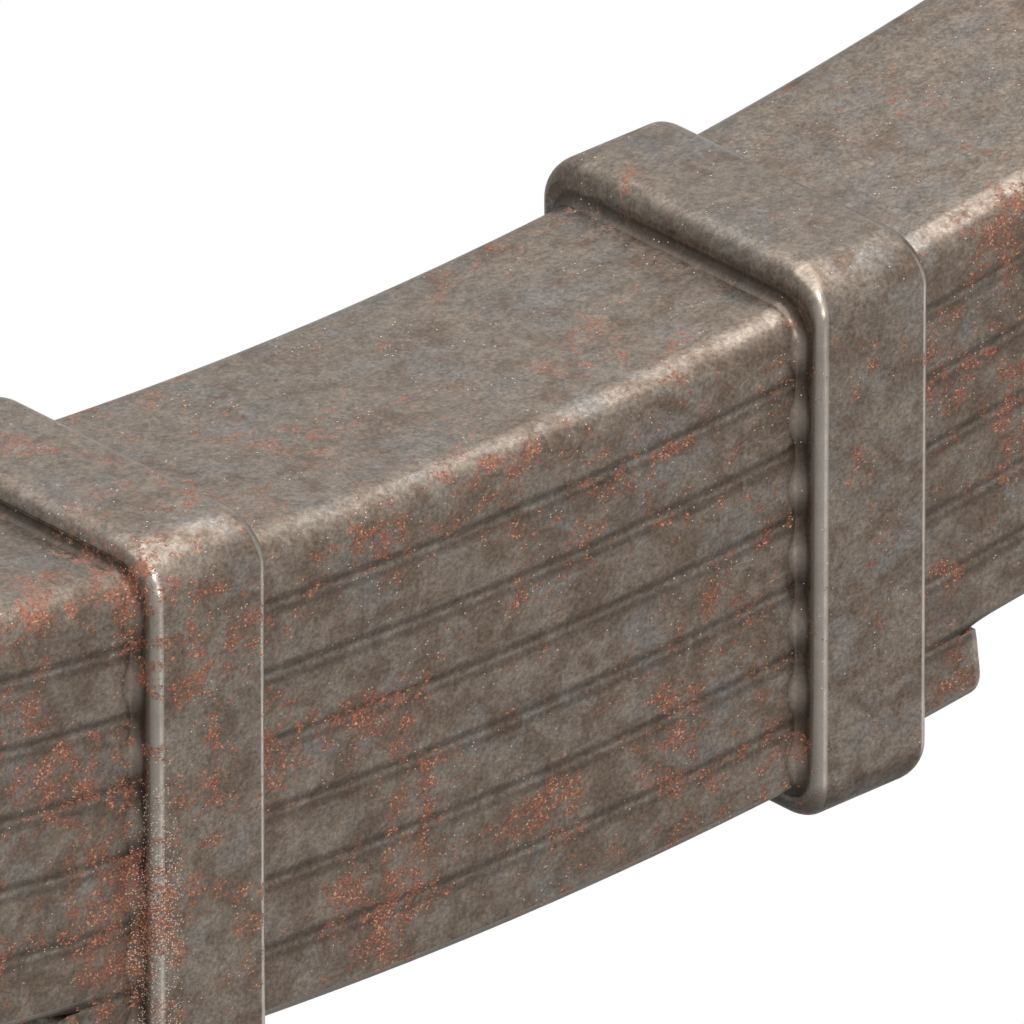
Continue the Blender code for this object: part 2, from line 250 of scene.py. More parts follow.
class StageSettings(bpy.types.PropertyGroup):
    """Camera and studio light."""

    view_azimuth: FloatProperty(
        name="View Azimuth",
        description="Direction of the camera about the upright axis",
        default=math.radians(-42.72),
        unit="ROTATION",
    )
    view_elevation: FloatProperty(
        name="View Elevation",
        description="Height of the camera above the horizon",
        default=math.radians(27.19),
        unit="ROTATION",
    )
    view_aim: FloatVectorProperty(
        name="View Aim",
        description="The point the camera looks at",
        default=(0.02430, -0.00685, 0.08275),
        size=3,
        subtype="TRANSLATION",
        unit="LENGTH",
    )
    view_distance: FloatProperty(
        name="View Distance",
        description="Distance from the camera to the point it looks at",
        default=9.04,
        unit="LENGTH",
    )
    lens: FloatProperty(
        name="Lens",
        description="Focal length of the camera in millimetres",
        default=1500.0,
    )


# ---------------------------------------------------------------- shapes


def leaf_half_angle(number):
    """Half the arc of a leaf; leaf 1 is the main leaf, which ends where its eyes begin."""
    if number == 1:
        return EYE_ANGLE
    middle_radius = leaf_middle_radius(number)
    return (SHORTEST_HALF_LENGTH + (LEAF_COUNT - number) * LEAF_LENGTH_STEP) / middle_radius


def leaf_middle_radius(number):
    return MAIN_TOP_RADIUS + (number - 1) * LEAF_PITCH + LEAF_THICKNESS / 2


def on_arc(radius, angle):
    """A point on an arc about the common centre, and the unit vector from there to the centre."""
    inward = Vector((-math.sin(angle), 0.0, math.cos(angle)))
    return Vector((0.0, 0.0, ARC_CENTRE_HEIGHT)) - inward * radius, inward


def ease(value):
    """0 to 1 with a soft start and end."""
    value = min(max(value, 0.0), 1.0)
    return value * value * (3 - 2 * value)


def groove_edge(depth, share):
    """How far a soft edge draws in: share 0 at the joint between two leaves, 1 where it runs out."""
    return depth * (0.5 + 0.5 * math.cos(math.pi * share))


def round_edge(radius, share):
    """(in from the side, in from the face) on a quarter round: share 0 on the face, 1 on the side."""
    turn = share * math.pi / 2
    return radius * (1 - math.sin(turn)), radius * (1 - math.cos(turn))


def leaf_half_section(half_thickness, groove_depth, top_round, free_below, draw_in):
    """One side of a leaf's section, from the middle of its top face round to the middle of its underside.

    top_round is None where another leaf lies on top. free_below runs from 0, on another leaf, to 1.
    draw_in is how far the whole section has drawn in towards a leaf's end.
    """
    half_width = LEAF_WIDTH / 2 - draw_in
    top = half_thickness - draw_in
    edge = min(GROOVE_HALF_WIDTH, top - 0.2 * MM)
    points = []
    for step in range(CORNER_STEPS + 1):
        share = step / CORNER_STEPS
        if top_round is None:
            points.append((half_width - groove_edge(groove_depth, share), top - edge * share))
        else:
            across, down = round_edge(min(top_round, top), share)
            points.append((half_width - across, top - down))
    for step in range(CORNER_STEPS, -1, -1):
        share = step / CORNER_STEPS
        joined = (groove_edge(groove_depth, share), edge * share)
        open_edge = round_edge(min(FREE_EDGE_RADIUS, top), share)
        across = joined[0] + (open_edge[0] - joined[0]) * free_below
        rise = joined[1] + (open_edge[1] - joined[1]) * free_below
        points.append((half_width - across, -top + rise))
    flat_top = [(points[0][0] * share, top) for share in (0.0, 0.35, 0.7)]
    flat_under = [(points[-1][0] * share, -top) for share in (0.7, 0.35, 0.0)]
    return flat_top + points + flat_under


def leaf_ring(centre, inward, half_section):
    """The whole section as points in space."""
    right = [centre + Vector((0.0, y, 0.0)) + inward * up for y, up in half_section]
    left = [centre + Vector((0.0, -y, 0.0)) + inward * up for y, up in reversed(half_section[1:-1])]
    return right + left


def skin_rings(rings, closed=False):
    """A closed shape through rings of equal length: capped at both ends, or joined end to end."""
    shape = bmesh.new()
    loops = [[shape.verts.new(point) for point in ring] for ring in rings]
    count = len(loops[0])
    pairs = list(zip(loops, loops[1:]))
    if closed:
        pairs.append((loops[-1], loops[0]))
    for here, there in pairs:
        for i in range(count):
            j = (i + 1) % count
            shape.faces.new((here[i], here[j], there[j], there[i]))
    if not closed:
        shape.faces.new(list(reversed(loops[0])))
        shape.faces.new(loops[-1])
    bmesh.ops.recalc_face_normals(shape, faces=shape.faces)
    return shape


def turned(profile, sides, closed):
    """A shape turned about Z from (radius, height) points."""
    rings = []
    for radius, height in profile:
        ring = []
        for i in range(sides):
            angle = 2 * math.pi * i / sides
            ring.append(Vector((radius * math.cos(angle), radius * math.sin(angle), height)))
        rings.append(ring)
    return skin_rings(rings, closed)


def lay_across(shape, x=0.0, y=0.0, z=0.0):
    """Turns a shape made about Z so that it lies along Y, then moves it."""
    bmesh.ops.rotate(shape, verts=shape.verts, matrix=Matrix.Rotation(-math.pi / 2, 3, "X"))
    bmesh.ops.translate(shape, verts=shape.verts, vec=(x, y, z))
    return shape


def make_piece(name, shape, material):
    """A smooth-shaded object with its material."""
    mesh = bpy.data.meshes.new(name)
    shape.to_mesh(mesh)
    shape.free()
    mesh.shade_smooth()
    mesh.set_sharp_from_angle(angle=CRISP_ANGLE)
    mesh.materials.append(material)
    piece = bpy.data.objects.new(name, mesh)
    bpy.context.scene.collection.objects.link(piece)
    return piece


def remember_surface(piece):
    """Writes the place and the curvature of every point for the materials, once the shape is final."""
    mesh = piece.data
    shape = bmesh.new()
    shape.from_mesh(mesh)
    shape.normal_update()
    crisp = set()
    for edge in shape.edges:
        if edge.calc_face_angle(0.0) > CRISP_ANGLE:
            crisp.update(edge.verts)
    curve = []
    for vert in shape.verts:
        strongest, way = 0.0, None
        for edge in vert.link_edges:
            other = edge.other_vert(vert)
            gap = other.co - vert.co
            if gap.length > SHORTEST_EDGE and vert not in crisp and other not in crisp:
                bend = (other.normal - vert.normal).dot(gap) / gap.length_squared
                if abs(bend) > abs(strongest):
                    strongest, way = bend, gap
        for edge in vert.link_edges if way else ():
            gap = edge.other_vert(vert).co - vert.co
            if gap.length > 3 * way.length and gap.dot(way) < -0.5 * gap.length * way.length:
                strongest = 0.0  # the curve ends here, and a flat begins
        curve.append(strongest * MM)
    shape.free()
    place = mesh.attributes.new("place", "FLOAT_VECTOR", "POINT")
    place.data.foreach_set("vector", [c for vert in mesh.vertices for c in vert.co])
    bend = mesh.attributes.new("curve", "FLOAT", "POINT")
    bend.data.foreach_set("value", curve)


def apply_modifiers(piece):
    """Makes the modifiers' result the piece's own mesh."""
    depsgraph = bpy.context.evaluated_depsgraph_get()
    made = bpy.data.meshes.new_from_object(piece.evaluated_get(depsgraph))
    old = piece.data
    piece.modifiers.clear()
    piece.data = made
    bpy.data.meshes.remove(old)


def drill(piece, *shapes):
    """Cuts closed shapes out of a piece."""
    cutters = []
    for shape in shapes:
        mesh = bpy.data.meshes.new("drill")
        shape.to_mesh(mesh)
        shape.free()
        cutter = bpy.data.objects.new("drill", mesh)
        bpy.context.scene.collection.objects.link(cutter)
        hole = piece.modifiers.new("hole", "BOOLEAN")
        hole.operation = "DIFFERENCE"
        hole.solver = "EXACT"
        hole.object = cutter
        cutters.append(cutter)
    apply_modifiers(piece)
    for cutter in cutters:
        mesh = cutter.data
        bpy.data.objects.remove(cutter)
        bpy.data.meshes.remove(mesh)


def bend_with_spring(piece):
    """Bakes the piece's placement into its mesh."""
    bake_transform(piece)


# ---------------------------------------------------------------- leaves


def free_below(number, angle):
    """0 where another leaf lies below, rising to 1 just past that leaf's end."""
    if number == LEAF_COUNT:
        return 1.0
    past_end = (abs(angle) - leaf_half_angle(number + 1)) * leaf_middle_radius(number)
    return ease(past_end / FREE_EDGE_RUN + 0.5)


def top_round_at(settings, angle):
    """The main leaf's upper edges are roundest between the bands and crisper towards the eyes."""
    towards_eye = ease((abs(angle) - EDGE_CHANGE_START) / EDGE_CHANGE_SPAN)
    return settings.top_edge + (EYE_EDGE_RADIUS - settings.top_edge) * towards_eye


def leaf_section_at(settings, number, angle, draw_in=0.0):
    half_thickness = (LEAF_PITCH - LEAF_CLEARANCE) / 2
    top_round = top_round_at(settings, angle) if number == 1 else None
    return leaf_half_section(
        half_thickness, settings.groove_depth, top_round, free_below(number, angle), draw_in
    )


def eye_rings(settings, side):
    """The rings of one rolled eye, from where it leaves the arc to its tip."""
    middle_radius = leaf_middle_radius(1)
    start, inward = on_arc(middle_radius, side * EYE_ANGLE)
    loop_radius = EYE_BORE_RADIUS + LEAF_THICKNESS / 2
    centre = start + inward * loop_radius
    section = leaf_section_at(settings, 1, EYE_ANGLE)
    rings = []
    for i in range(1, EYE_STEPS + 1):
        turn = Matrix.Rotation(-side * EYE_WRAP * i / EYE_STEPS, 3, "Y")
        rings.append(leaf_ring(centre - turn @ inward * loop_radius, turn @ inward, section))
    for share in (0.35, 0.7, 1.0):
        angle = EYE_WRAP + EYE_TIP_RADIUS * math.sin(share * math.pi / 2) / loop_radius
        turn = Matrix.Rotation(-side * angle, 3, "Y")
        draw_in = EYE_TIP_RADIUS * (1 - math.cos(share * math.pi / 2))
        section = leaf_section_at(settings, 1, EYE_ANGLE, draw_in)
        rings.append(leaf_ring(centre - turn @ inward * loop_radius, turn @ inward, section))
    return rings


def leaf_rings(settings, number, start_angle, side):
    """Rings of a leaf from start_angle out to its end on one side."""
    middle_radius = leaf_middle_radius(number)
    end_angle = leaf_half_angle(number)
    round_angle = 0.0 if number == 1 else LEAF_END_RADIUS / middle_radius
    body_end = side * (end_angle - round_angle)
    count = math.ceil(abs(body_end - start_angle) / STATION_ANGLE)
    rings = []
    for i in range(count + 1):
        angle = start_angle + (body_end - start_angle) * i / count
        centre, inward = on_arc(middle_radius, angle)
        rings.append(leaf_ring(centre, inward, leaf_section_at(settings, number, angle)))
    if number == 1:
        return rings + eye_rings(settings, side)
    for i in range(1, LEAF_END_STEPS + 1):
        turn = i / LEAF_END_STEPS * math.pi / 2
        angle = body_end + side * round_angle * math.sin(turn)
        draw_in = LEAF_END_RADIUS * (1 - math.cos(turn))
        centre, inward = on_arc(middle_radius, angle)
        section = leaf_section_at(settings, number, angle, draw_in)
        rings.append(leaf_ring(centre, inward, section))
    return rings


def bolt_hole():
    """The centre bolt's hole, which stops inside the main leaf."""
    radius = BOLT_SHANK_RADIUS + FIT_GAP
    bottom = ARC_CENTRE_HEIGHT - PACK_BOTTOM_RADIUS - 5 * MM
    top = ARC_CENTRE_HEIGHT - MAIN_TOP_RADIUS - LEAF_THICKNESS + BOLT_DEPTH_IN_MAIN + FIT_GAP
    return turned([(radius, bottom), (radius, top)], HOLE_SIDES, closed=False)


class SPRING_OT_leaves(bpy.types.Operator):
    """Builds the seven leaves, each in two lengths that meet out of sight inside the front band"""

    bl_idname = "leaf_spring.leaves"
    bl_label = "Build Leaves"

    def execute(self, context):
        settings = context.scene.spring_leaves
        steel = steel_material("leaf steel")
        hidden_joint = BAND_SPACING / 2
        for number in range(1, LEAF_COUNT + 1):
            node = "leaf_1_main" if number == 1 else f"leaf_{number}"
            split = math.asin(hidden_joint / leaf_middle_radius(number))
            for half, side in HALVES.items():
                rings = leaf_rings(settings, number, split, side)
                piece = make_piece(f"{node}_{half}_length", skin_rings(rings), steel)
                if half == "rear":
                    drill(piece, bolt_hole())
                if number == CLIP_LEAVES:
                    drill(piece, swing(rivet_hole(clip_heights()[0] + LEAF_THICKNESS), side))
                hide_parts(node)
                remember_surface(piece)
                bend_with_spring(piece)
        return {"FINISHED"}


# ---------------------------------------------------------------- bands


def pack_side_inset(depth_in_pack, groove_depth):
    """How far the pack's side draws in at a depth below the main leaf's top."""
    along = depth_in_pack / LEAF_PITCH
    nearest = round(along)
    distance = abs(along - nearest) * LEAF_PITCH
    if nearest in (0, LEAF_COUNT) or distance > GROOVE_HALF_WIDTH:
        return 0.0
    return groove_edge(groove_depth, distance / GROOVE_HALF_WIDTH)


def band_outline(settings):
    """One side of a band, from the middle of the roof round to the middle of the floor.

    Each entry is (across, depth in the pack) inside, (across, height) outside, and the outer edge's radius.
    """
    top = ARC_CENTRE_HEIGHT - MAIN_TOP_RADIUS * math.cos(BAND_ANGLE)
    pack_depth = LEAF_COUNT * LEAF_PITCH - (LEAF_PITCH - LEAF_THICKNESS)
    half_width = LEAF_WIDTH / 2
    outer_flat = BAND_HALF_DEPTH - BAND_CORNER_RADIUS
    top_round = settings.top_edge
    floor_round = FREE_EDGE_RADIUS
    pairs = []
    flat = half_width - top_round
    for share in (0.0, 0.25, 0.5, 0.75):
        pairs.append(((flat * share, 0.0), (outer_flat * share, BAND_TOP), BAND_ROOF_EDGE))
    for step in range(BAND_CORNER_STEPS + 1):
        turn = math.pi / 2 * (1 - step / BAND_CORNER_STEPS)
        inner = (flat + top_round * math.cos(turn), top_round * (1 - math.sin(turn)))
        outer = (
            outer_flat + BAND_CORNER_RADIUS * math.cos(turn),
            BAND_TOP - BAND_CORNER_RADIUS * (1 - math.sin(turn)),
        )
        edge = BAND_ROOF_EDGE + (BAND_SIDE_EDGE - BAND_ROOF_EDGE) * ease(step / BAND_CORNER_STEPS)
        pairs.append((inner, outer, edge))
    first, last = top_round, pack_depth - floor_round
    first_shift = top_round - (BAND_CORNER_RADIUS - (BAND_TOP - top))
    last_shift = (top - last) - BAND_CORNER_RADIUS
    for step in range(1, BAND_SIDE_STEPS):
        depth = first + (last - first) * step / BAND_SIDE_STEPS
        fade_top = 1 - ease((depth - first) / BAND_SHIFT_DEPTH)
        fade_floor = 1 - ease((last - depth) / BAND_SHIFT_DEPTH)
        height = top - depth + first_shift * fade_top - last_shift * fade_floor
        inset = pack_side_inset(depth, settings.groove_depth)
        pairs.append(((half_width - inset, depth), (BAND_HALF_DEPTH, height), BAND_SIDE_EDGE))
    for step in range(BAND_CORNER_STEPS + 1):
        turn = math.pi / 2 * step / BAND_CORNER_STEPS
        inner = (
            half_width - floor_round + floor_round * math.cos(turn),
            last + floor_round * math.sin(turn),
        )
        outer = (
            outer_flat + BAND_CORNER_RADIUS * math.cos(turn),
            BAND_CORNER_RADIUS * (1 - math.sin(turn)),
        )
        edge = BAND_SIDE_EDGE + (BAND_ROOF_EDGE - BAND_SIDE_EDGE) * ease(step / BAND_CORNER_STEPS)
        pairs.append((inner, outer, edge))
    flat = half_width - floor_round
    for share in (0.75, 0.5, 0.25, 0.0):
        pairs.append(((flat * share, pack_depth), (outer_flat * share, 0.0), BAND_ROOF_EDGE))
    return pairs


def lip_reach(depth):
    """How far a band's lip runs out onto the pack: long on the middle of each leaf, short at the joints."""
    wave = 0.5 - 0.5 * math.cos(2 * math.pi * depth / LEAF_PITCH)
    reach = SHORT_LIP + (LONG_LIP - SHORT_LIP) * wave
    if depth < LEAF_PITCH / 2 or depth > (LEAF_COUNT - 0.5) * LEAF_PITCH:
        return max(reach, LIP_RADIUS)
    return reach


def band_profile(edge, reach):
    """(offset along the spring, rise from the pack, drop from the outside) of a band's cross-section.

    Rise counts from the pack's surface and drop from the band's outer face; the unused one is None.
    """
    half = BAND_WIDTH / 2
    profile = []
    for step in range(BAND_LIP_STEPS + 1):
        turn = (step / BAND_LIP_STEPS) ** 1.5 * math.pi / 2
        offset = half + reach * (1 - math.sin(turn))
        profile.append((offset, LEAF_CLEARANCE + LIP_RADIUS * (1 - math.cos(turn)), None))
    profile.append((half, None, edge + 0.2 * MM))
    for step in range(BAND_EDGE_STEPS + 1):
        turn = step / BAND_EDGE_STEPS * math.pi / 2
        offset = half - edge * (1 - math.cos(turn))
        profile.append((offset, None, edge * (1 - math.sin(turn))))
    profile.append((half / 3, None, 0.0))
    mirrored = [(-offset, rise, drop) for offset, rise, drop in reversed(profile)]
    shares = (-0.9, -0.6, -0.3, 0.0, 0.3, 0.6, 0.9)
    under = [(share * half, LEAF_CLEARANCE, None) for share in shares]
    return profile + mirrored + under


def band_shape(settings, side):
    """A closed band with soft outer edges and lips that run out onto the leaves."""
    pairs = band_outline(settings)
    middle = side * BAND_SPACING / 2
    rings = []
    whole = [(*pair, 1) for pair in pairs]
    whole += [(*pair, -1) for pair in reversed(pairs[1:-1])]
    for (across_in, depth), (across_out, height), edge, flank in whole:
        ring = []
        radius = MAIN_TOP_RADIUS + depth
        for offset, rise, drop in band_profile(edge, lip_reach(depth)):
            x = middle + offset
            z_in = ARC_CENTRE_HEIGHT - math.sqrt(radius * radius - x * x)
            inner = Vector((x, flank * across_in, z_in))
            outer = Vector((x, flank * across_out, height))
            wall = outer - inner
            if drop is None:
                point = inner + wall.normalized() * rise
            else:
                point = outer - wall.normalized() * drop
            ring.append(point)
        rings.append(ring)
    return skin_rings(rings, closed=True)


class SPRING_OT_bands(bpy.types.Operator):
    """Builds the two bands that hold the pack together"""

    bl_idname = "leaf_spring.bands"
    bl_label = "Build Bands"

    def execute(self, context):
        steel = steel_material("band steel")
        for half, side in HALVES.items():
            shape = band_shape(context.scene.spring_leaves, side)
            piece = make_piece(f"{half}_band_finished", shape, steel)
            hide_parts(f"{half}_band")
            remember_surface(piece)
            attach(piece, "centre_pack")
        return {"FINISHED"}


# ---------------------------------------------------------------- centre bolt and bushes


class SPRING_OT_centre_bolt(bpy.types.Operator):
    """Builds the centre bolt, whose head shows under the shortest leaf"""

    bl_idname = "leaf_spring.centre_bolt"
    bl_label = "Build Centre Bolt"

    def execute(self, context):
        top = ARC_CENTRE_HEIGHT - PACK_BOTTOM_RADIUS - FIT_GAP
        bottom = top - BOLT_HEAD_HEIGHT
        tip = ARC_CENTRE_HEIGHT - MAIN_TOP_RADIUS - LEAF_THICKNESS + BOLT_DEPTH_IN_MAIN
        profile = []
        for share in (0.1, 0.4, 0.65, 0.85, 1.0):
            turn = share * math.pi / 2
            radius = BOLT_HEAD_RADIUS - HEAD_CROWN * (1 - math.sin(turn))
            profile.append((radius, bottom + HEAD_CROWN * (1 - math.cos(turn))))
        profile.insert(0, (BOLT_HEAD_RADIUS * 0.5, bottom))
        profile += [
            (BOLT_HEAD_RADIUS, top - SEAT_CHAMFER),
            (BOLT_HEAD_RADIUS - SEAT_CHAMFER, top),
            (BOLT_SHANK_RADIUS, top),
            (BOLT_SHANK_RADIUS, tip - POINT_CHAMFER),
            (BOLT_SHANK_RADIUS - POINT_CHAMFER, tip),
        ]
        shape = turned(profile, CENTRE_BOLT_SIDES, closed=False)
        steel = steel_material("fastener steel")
        piece = make_piece("centre_bolt_finished", shape, steel)
        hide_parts("centre_bolt")
        remember_surface(piece)
        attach(piece, "centre_pack")
        return {"FINISHED"}


def tube(outer, inner, length, edge):
    """A tube with soft ends, made about Z."""
    half = length / 2
    profile = []
    for rim, out, end in ((outer, 1, -1), (outer, 1, 1), (inner, -1, 1), (inner, -1, -1)):
        shares = (0.0, 0.33, 0.67, 1.0) if end * out < 0 else (1.0, 0.67, 0.33, 0.0)
        for share in shares:
            turn = share * math.pi / 2
            radius = rim - out * edge * (1 - math.sin(turn))
            profile.append((radius, end * (half - edge * (1 - math.cos(turn)))))
    return turned(profile, TUBE_SIDES, closed=True)


def moulded_rubber(outer, inner, length):
    """The rubber of a bush: proud at both walls, hollowed between them."""
    half = length / 2
    hollow, lip = 3.0 * MM, 0.8 * MM
    span = outer - inner
    face = []
    for step in range(13):
        share = step / 12
        sink = hollow * math.sin(math.pi * share) ** 2 + lip * (1 - math.sin(math.pi * share))
        face.append((outer - span * share, half - sink))
    profile = face + [(radius, -height) for radius, height in reversed(face)]
    return turned(profile, TUBE_SIDES, closed=True)


class SPRING_OT_bushes(bpy.types.Operator):
    """Builds the rubber bush in each eye: outer sleeve, rubber and inner sleeve"""

    bl_idname = "leaf_spring.bushes"
    bl_label = "Build Bushes"

    def execute(self, context):
        sleeve = steel_material("sleeve steel")
        rubber = rubber_material()
        bore = SLEEVE_RADIUS - SLEEVE_WALL
        for half, side in HALVES.items():
            eye = on_arc(MAIN_TOP_RADIUS - EYE_BORE_RADIUS, side * EYE_ANGLE)[0]
            outer = tube(SLEEVE_RADIUS, bore, LEAF_WIDTH, 0.5 * MM)
            middle = moulded_rubber(bore - BUSH_GAP, CORE_RADIUS + BUSH_GAP, RUBBER_LENGTH)
            inner = tube(CORE_RADIUS, CORE_BORE_RADIUS, CORE_LENGTH, 0.6 * MM)
            layers = (
                ("outer_sleeve", outer, sleeve, "sleeve_steel", "eye"),
                ("rubber", middle, rubber, "bush_rubber", "eye"),
                ("inner_sleeve", inner, sleeve, "sleeve_steel", "bush_core"),
            )
            for layer, shape, material, slot, body in layers:
                lay_across(shape, eye.x, eye.y, eye.z)
                piece = make_piece(f"{half}_bush_{layer}_finished", shape, material)
                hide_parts(f"{half}_bush_{layer}")
                remember_surface(piece)
                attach(piece, f"{half}_{body}")
        return {"FINISHED"}


# ---------------------------------------------------------------- rebound clips


def bar_ring(centre, out, width):
    """One ring of the clip's flat bar, with soft edges."""
    half_width, half_bar = width / 2, CLIP_THICKNESS / 2
    edge = min(BAR_EDGE, half_width * 0.6)
    ring = []
    for corner in range(4):
        along = (half_width - edge) * (1 if corner in (0, 3) else -1)
        away = (half_bar - edge) * (1 if corner in (0, 1) else -1)
        for step in range(5):
            turn = (corner + step / 4) * math.pi / 2
            x = along + edge * math.cos(turn)
            ring.append(centre + Vector((x, 0.0, 0.0)) + out * (away + edge * math.sin(turn)))
    return ring


def strap_shape(floor_height, bolt_height):
    """A U of flat bar that hugs the pack from below and ends in round lugs about the clip bolt."""
    half_bar = CLIP_THICKNESS / 2
    bend = CLIP_CORNER_RADIUS + half_bar
    side_y = LEAF_WIDTH / 2 + CLIP_SIDE_GAP + half_bar
    floor_z = floor_height - half_bar
    route = []
    lug_steps, bend_steps, wall_steps = 18, 12, 6
    for step in range(lug_steps, -1, -1):
        turn = step / lug_steps * math.pi / 2 * LUG_SHARE
        rise = CLIP_WIDTH / 2 * math.sin(turn)
        route.append((side_y, bolt_height + rise, CLIP_WIDTH * math.cos(turn), 0.0))
    for step in range(1, wall_steps):
        drop = (bolt_height - floor_z - bend) * step / wall_steps
        route.append((side_y, bolt_height - drop, CLIP_WIDTH, 0.0))
    for step in range(bend_steps + 1):
        turn = step / bend_steps * math.pi / 2
        y = side_y - bend + bend * math.cos(turn)
        z = floor_z + bend - bend * math.sin(turn)
        route.append((y, z, CLIP_WIDTH, turn))
    route += [(-y, z, width, math.pi - turn) for y, z, width, turn in reversed(route)]
    rings = []
    for y, z, width, turn in route:
        out = Vector((0.0, math.cos(turn), -math.sin(turn)))
        rings.append(bar_ring(Vector((0.0, y, z)), out, width))
    return skin_rings(rings)


def hexagon_ring(limit, height, sides=CLIP_BOLT_SIDES):
    """A ring on a hexagon whose corners are turned down to a limit radius."""
    ring = []
    for i in range(sides):
        angle = 2 * math.pi * i / sides
        across = HEX_RADIUS * math.cos(math.pi / 6) / math.cos(angle % (math.pi / 3) - math.pi / 6)
        radius = min(across, limit)
        ring.append(Vector((radius * math.cos(angle), radius * math.sin(angle), height)))
    return ring


def round_ring(radius, height, sides=CLIP_BOLT_SIDES, thread=0.0):
    """A ring of a shank; with a thread depth it follows a screw thread."""
    ring = []
    for i in range(sides):
        angle = 2 * math.pi * i / sides
        turn = (height / THREAD_PITCH - i / sides) % 1.0
        reach = radius - thread * abs(2 * turn - 1)
        ring.append(Vector((reach * math.cos(angle), reach * math.sin(angle), height)))
    return ring


def hexagon_wall(bottom, height):
    """Rings up a hexagon with both ends turned down."""
    drop = 1.2 * MM
    limits = ((HEX_RADIUS - 1.8 * MM, 0.0), (HEX_RADIUS - 0.9 * MM, drop * 0.45), (HEX_RADIUS, drop))
    rings = [hexagon_ring(limit, bottom + rise) for limit, rise in limits]
    return rings + [hexagon_ring(limit, bottom + height - rise * 0.6) for limit, rise in reversed(limits)]


def clip_bolt_shape(head_seat, nut_end):
    """Hexagon head, plain shank and a threaded tail, made about Z."""
    rings = [round_ring(HEX_RADIUS - 3.5 * MM, -head_seat - HEX_HEAD_HEIGHT)]
    rings += hexagon_wall(-head_seat - HEX_HEAD_HEIGHT, HEX_HEAD_HEIGHT)
    rings.append(round_ring(CLIP_BOLT_RADIUS, -head_seat))
    rings.append(round_ring(CLIP_BOLT_RADIUS, head_seat))
    tip = nut_end + CLIP_BOLT_TAIL
    for step in range(1, THREAD_STEPS):
        height = head_seat + (tip - head_seat) * step / THREAD_STEPS
        near_tip = max(0.0, 1 - (tip - height) / POINT_CHAMFER)
        rings.append(round_ring(CLIP_BOLT_RADIUS - 1.0 * MM * near_tip, height, thread=THREAD_DEPTH))
    rings.append(round_ring(CLIP_BOLT_RADIUS - 1.3 * MM, tip))
    return skin_rings(rings)


def clip_nut_shape(seat):
    """A hexagon nut, made about Z."""
    rings = hexagon_wall(seat, HEX_NUT_HEIGHT)
    bore = CLIP_BOLT_RADIUS + FIT_GAP
    for radius, height in ((bore + 0.9 * MM, 0.0), (bore, 0.9 * MM)):
        rings.append(round_ring(radius, seat + HEX_NUT_HEIGHT - height))
    for radius, height in ((bore, 0.9 * MM), (bore + 0.9 * MM, 0.0)):
        rings.append(round_ring(radius, seat + height))
    return skin_rings(rings, closed=True)


def rivet_shape(head_height, top):
    """Domed head under the strap, shank through strap and leaf, made about Z."""
    profile = []
    for step in range(1, 13):
        turn = step / 12 * math.pi / 2
        height = head_height - RIVET_HEAD_HEIGHT * math.cos(turn)
        profile.append((RIVET_HEAD_RADIUS * math.sin(turn), height))
    profile += [
        (RIVET_RADIUS, head_height),
        (RIVET_RADIUS, top - RIVET_SINK_DEPTH),
        (RIVET_SINK_RADIUS, top),
    ]
    return turned(profile, RIVET_SIDES, closed=False)


def rivet_hole(top):
    """The countersunk hole for a clip's rivet."""
    radius = RIVET_RADIUS + FIT_GAP
    over = 2 * MM
    slope = (RIVET_SINK_RADIUS - RIVET_RADIUS) / RIVET_SINK_DEPTH
    profile = [
        (radius, top - RIVET_HOLE_DEPTH),
        (radius, top - RIVET_SINK_DEPTH),
        (radius + slope * (RIVET_SINK_DEPTH + over), top + over),
    ]
    return turned(profile, RIVET_SIDES, closed=False)


def clip_heights():
    """(underside of the leaf the clip is riveted to, middle of the clip bolt), above the floor at X = 0."""
    leaf_under = ARC_CENTRE_HEIGHT - MAIN_TOP_RADIUS - (CLIP_LEAVES - 1) * LEAF_PITCH - LEAF_THICKNESS
    return leaf_under, ARC_CENTRE_HEIGHT - MAIN_TOP_RADIUS + CLIP_BOLT_RISE


def swing(shape, side):
    """Swings a shape from the middle of the arc to the clip's place; the rear one also faces about."""
    lift = Matrix.Translation((0.0, 0.0, ARC_CENTRE_HEIGHT))
    about = Matrix.Rotation(0.0 if side > 0 else math.pi, 4, "Z")
    lean = Matrix.Rotation(-CLIP_ANGLE, 4, "Y")
    bmesh.ops.transform(shape, verts=shape.verts, matrix=lift @ about @ lean @ lift.inverted())
    return shape


